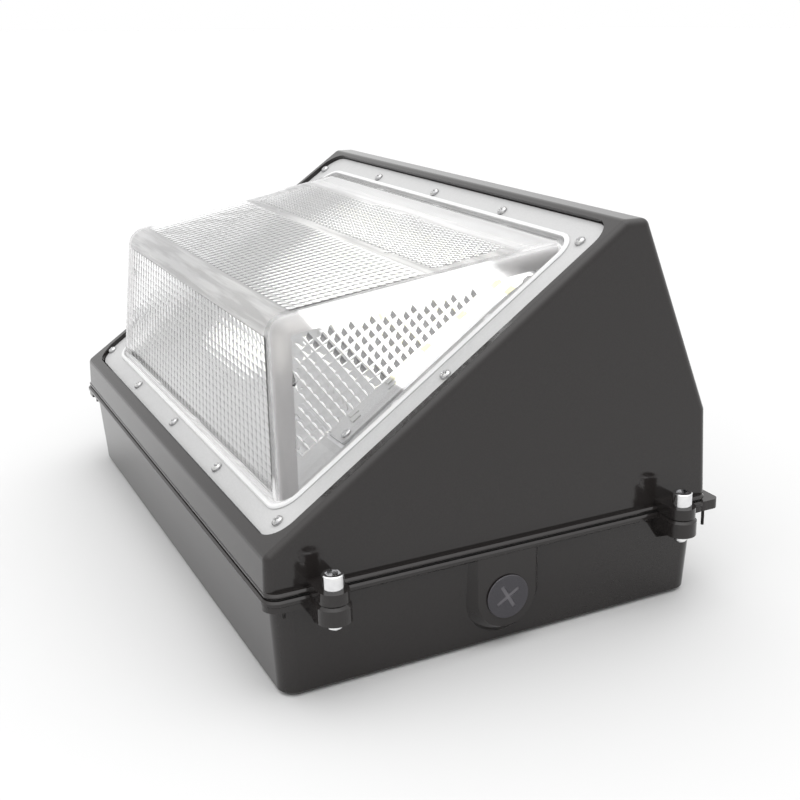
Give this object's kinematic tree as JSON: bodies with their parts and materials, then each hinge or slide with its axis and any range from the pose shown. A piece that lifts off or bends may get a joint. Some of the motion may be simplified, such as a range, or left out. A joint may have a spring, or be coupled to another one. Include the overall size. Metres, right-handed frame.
{
  "type": "wall pack light",
  "caption": "Outdoor wall light with a hinged die-cast cover, wedge-shaped prismatic lens and shallow back box.",
  "frame": {"origin": "on the wall face, on the axis of the wire entry in the back, under the middle of the cover flange", "axes": "+X across the wall towards the cap screws, +Y up the wall (the lens faces -Y), +Z away from the wall"},
  "size_m": [0.3947, 0.2372, 0.1935],
  "materials": {
    "bronze_box": "gloss",
    "bronze_cover": "gloss",
    "gasket_rubber": "matt",
    "seal_rubber": "matt",
    "black_pin": "blackened",
    "pin_steel": "satin",
    "plug_plastic": "satin",
    "bright_screw": "polished",
    "clear_lens": "clear, ribbed inside",
    "frame_grey": "satin",
    "small_screw": "zinc",
    "plate_aluminium": "satin",
    "reflector_white": "gloss",
    "rivet_aluminium": "satin",
    "board_white": "satin",
    "chip_yellow": "satin",
    "driver_white": "satin",
    "terminal_plastic": "satin",
    "ground_green": "gloss",
    "lead_black": "satin",
    "lead_red": "satin"
  },
  "bodies": {
    "box": {"back_box": "bronze_box", "cover_gasket": "gasket_rubber", "corner_pins": "black_pin", "hinge_pins": "pin_steel", "hinge_clips": "pin_steel", "led_driver": "driver_white", "driver_screws": "small_screw", "terminal_block": "terminal_plastic", "terminal_screws": "small_screw", "ground_screw": "ground_green", "lead_connector": "terminal_plastic", "input_leads": "lead_black", "output_leads": "lead_red"},
    "cover": {"front_cover": "bronze_cover", "lens": "clear_lens", "lens_seal": "seal_rubber", "lens_frame": "frame_grey", "frame_screws": "small_screw", "mounting_plate": "plate_aluminium", "plate_screws": "small_screw", "reflector": "reflector_white", "reflector_rivets": "rivet_aluminium", "led_board": "board_white", "board_screws": "small_screw", "led_chips": "chip_yellow"},
    "cap_washer_lower": {"cap_washer_lower": "bright_screw"},
    "cap_screw_lower": {"cap_screw_lower": "bright_screw"},
    "cap_washer_upper": {"cap_washer_upper": "bright_screw"},
    "cap_screw_upper": {"cap_screw_upper": "bright_screw"},
    "plug_washer_right": {"plug_washer_right": "gasket_rubber"},
    "closure_plug_right": {"closure_plug_right": "plug_plastic"},
    "plug_washer_left": {"plug_washer_left": "gasket_rubber"},
    "closure_plug_left": {"closure_plug_left": "plug_plastic"}
  },
  "joints": [
    {"name": "cover_swing", "type": "hinge", "parent": "box", "child": "cover", "pos_m": [-0.1902, 0, 0.041], "axis": [0, -1, 0], "range_deg": [0, 105]},
    {"name": "cap_screw_lower_rise", "type": "slide", "parent": "cover", "child": "cap_washer_lower", "axis": [0, 0, 1], "range_m": [0, 0.0127]},
    {"name": "cap_screw_lower_turn", "type": "hinge", "parent": "cap_washer_lower", "child": "cap_screw_lower", "pos_m": [0.19, -0.09, 0.05], "axis": [0, 0, 1], "range_deg": [0, 3601]},
    {"name": "cap_screw_upper_rise", "type": "slide", "parent": "cover", "child": "cap_washer_upper", "axis": [0, 0, 1], "range_m": [0, 0.0127]},
    {"name": "cap_screw_upper_turn", "type": "hinge", "parent": "cap_washer_upper", "child": "cap_screw_upper", "pos_m": [0.19, 0.09, 0.05], "axis": [0, 0, 1], "range_deg": [0, 3601]},
    {"name": "plug_right_out", "type": "slide", "parent": "box", "child": "plug_washer_right", "axis": [1, 0, 0], "range_m": [0, 0.00907]},
    {"name": "plug_right_turn", "type": "hinge", "parent": "plug_washer_right", "child": "closure_plug_right", "pos_m": [0.18, -0.0015, 0.0256], "axis": [1, 0, 0], "range_deg": [0, 1801]},
    {"name": "plug_left_out", "type": "slide", "parent": "box", "child": "plug_washer_left", "axis": [-1, 0, 0], "range_m": [0, 0.00907]},
    {"name": "plug_left_turn", "type": "hinge", "parent": "plug_washer_left", "child": "closure_plug_left", "pos_m": [-0.18, -0.0015, 0.0256], "axis": [-1, 0, 0], "range_deg": [0, 1801]}
  ],
  "couplings": [
    {"joint": "cap_screw_lower_turn", "follows": "cap_screw_lower_rise", "rad_per_m": 4947.4},
    {"joint": "cap_screw_upper_turn", "follows": "cap_screw_upper_rise", "rad_per_m": 4947.4},
    {"joint": "plug_right_turn", "follows": "plug_right_out", "rad_per_m": 3463.7},
    {"joint": "plug_left_turn", "follows": "plug_left_out", "rad_per_m": 3463.7}
  ]
}
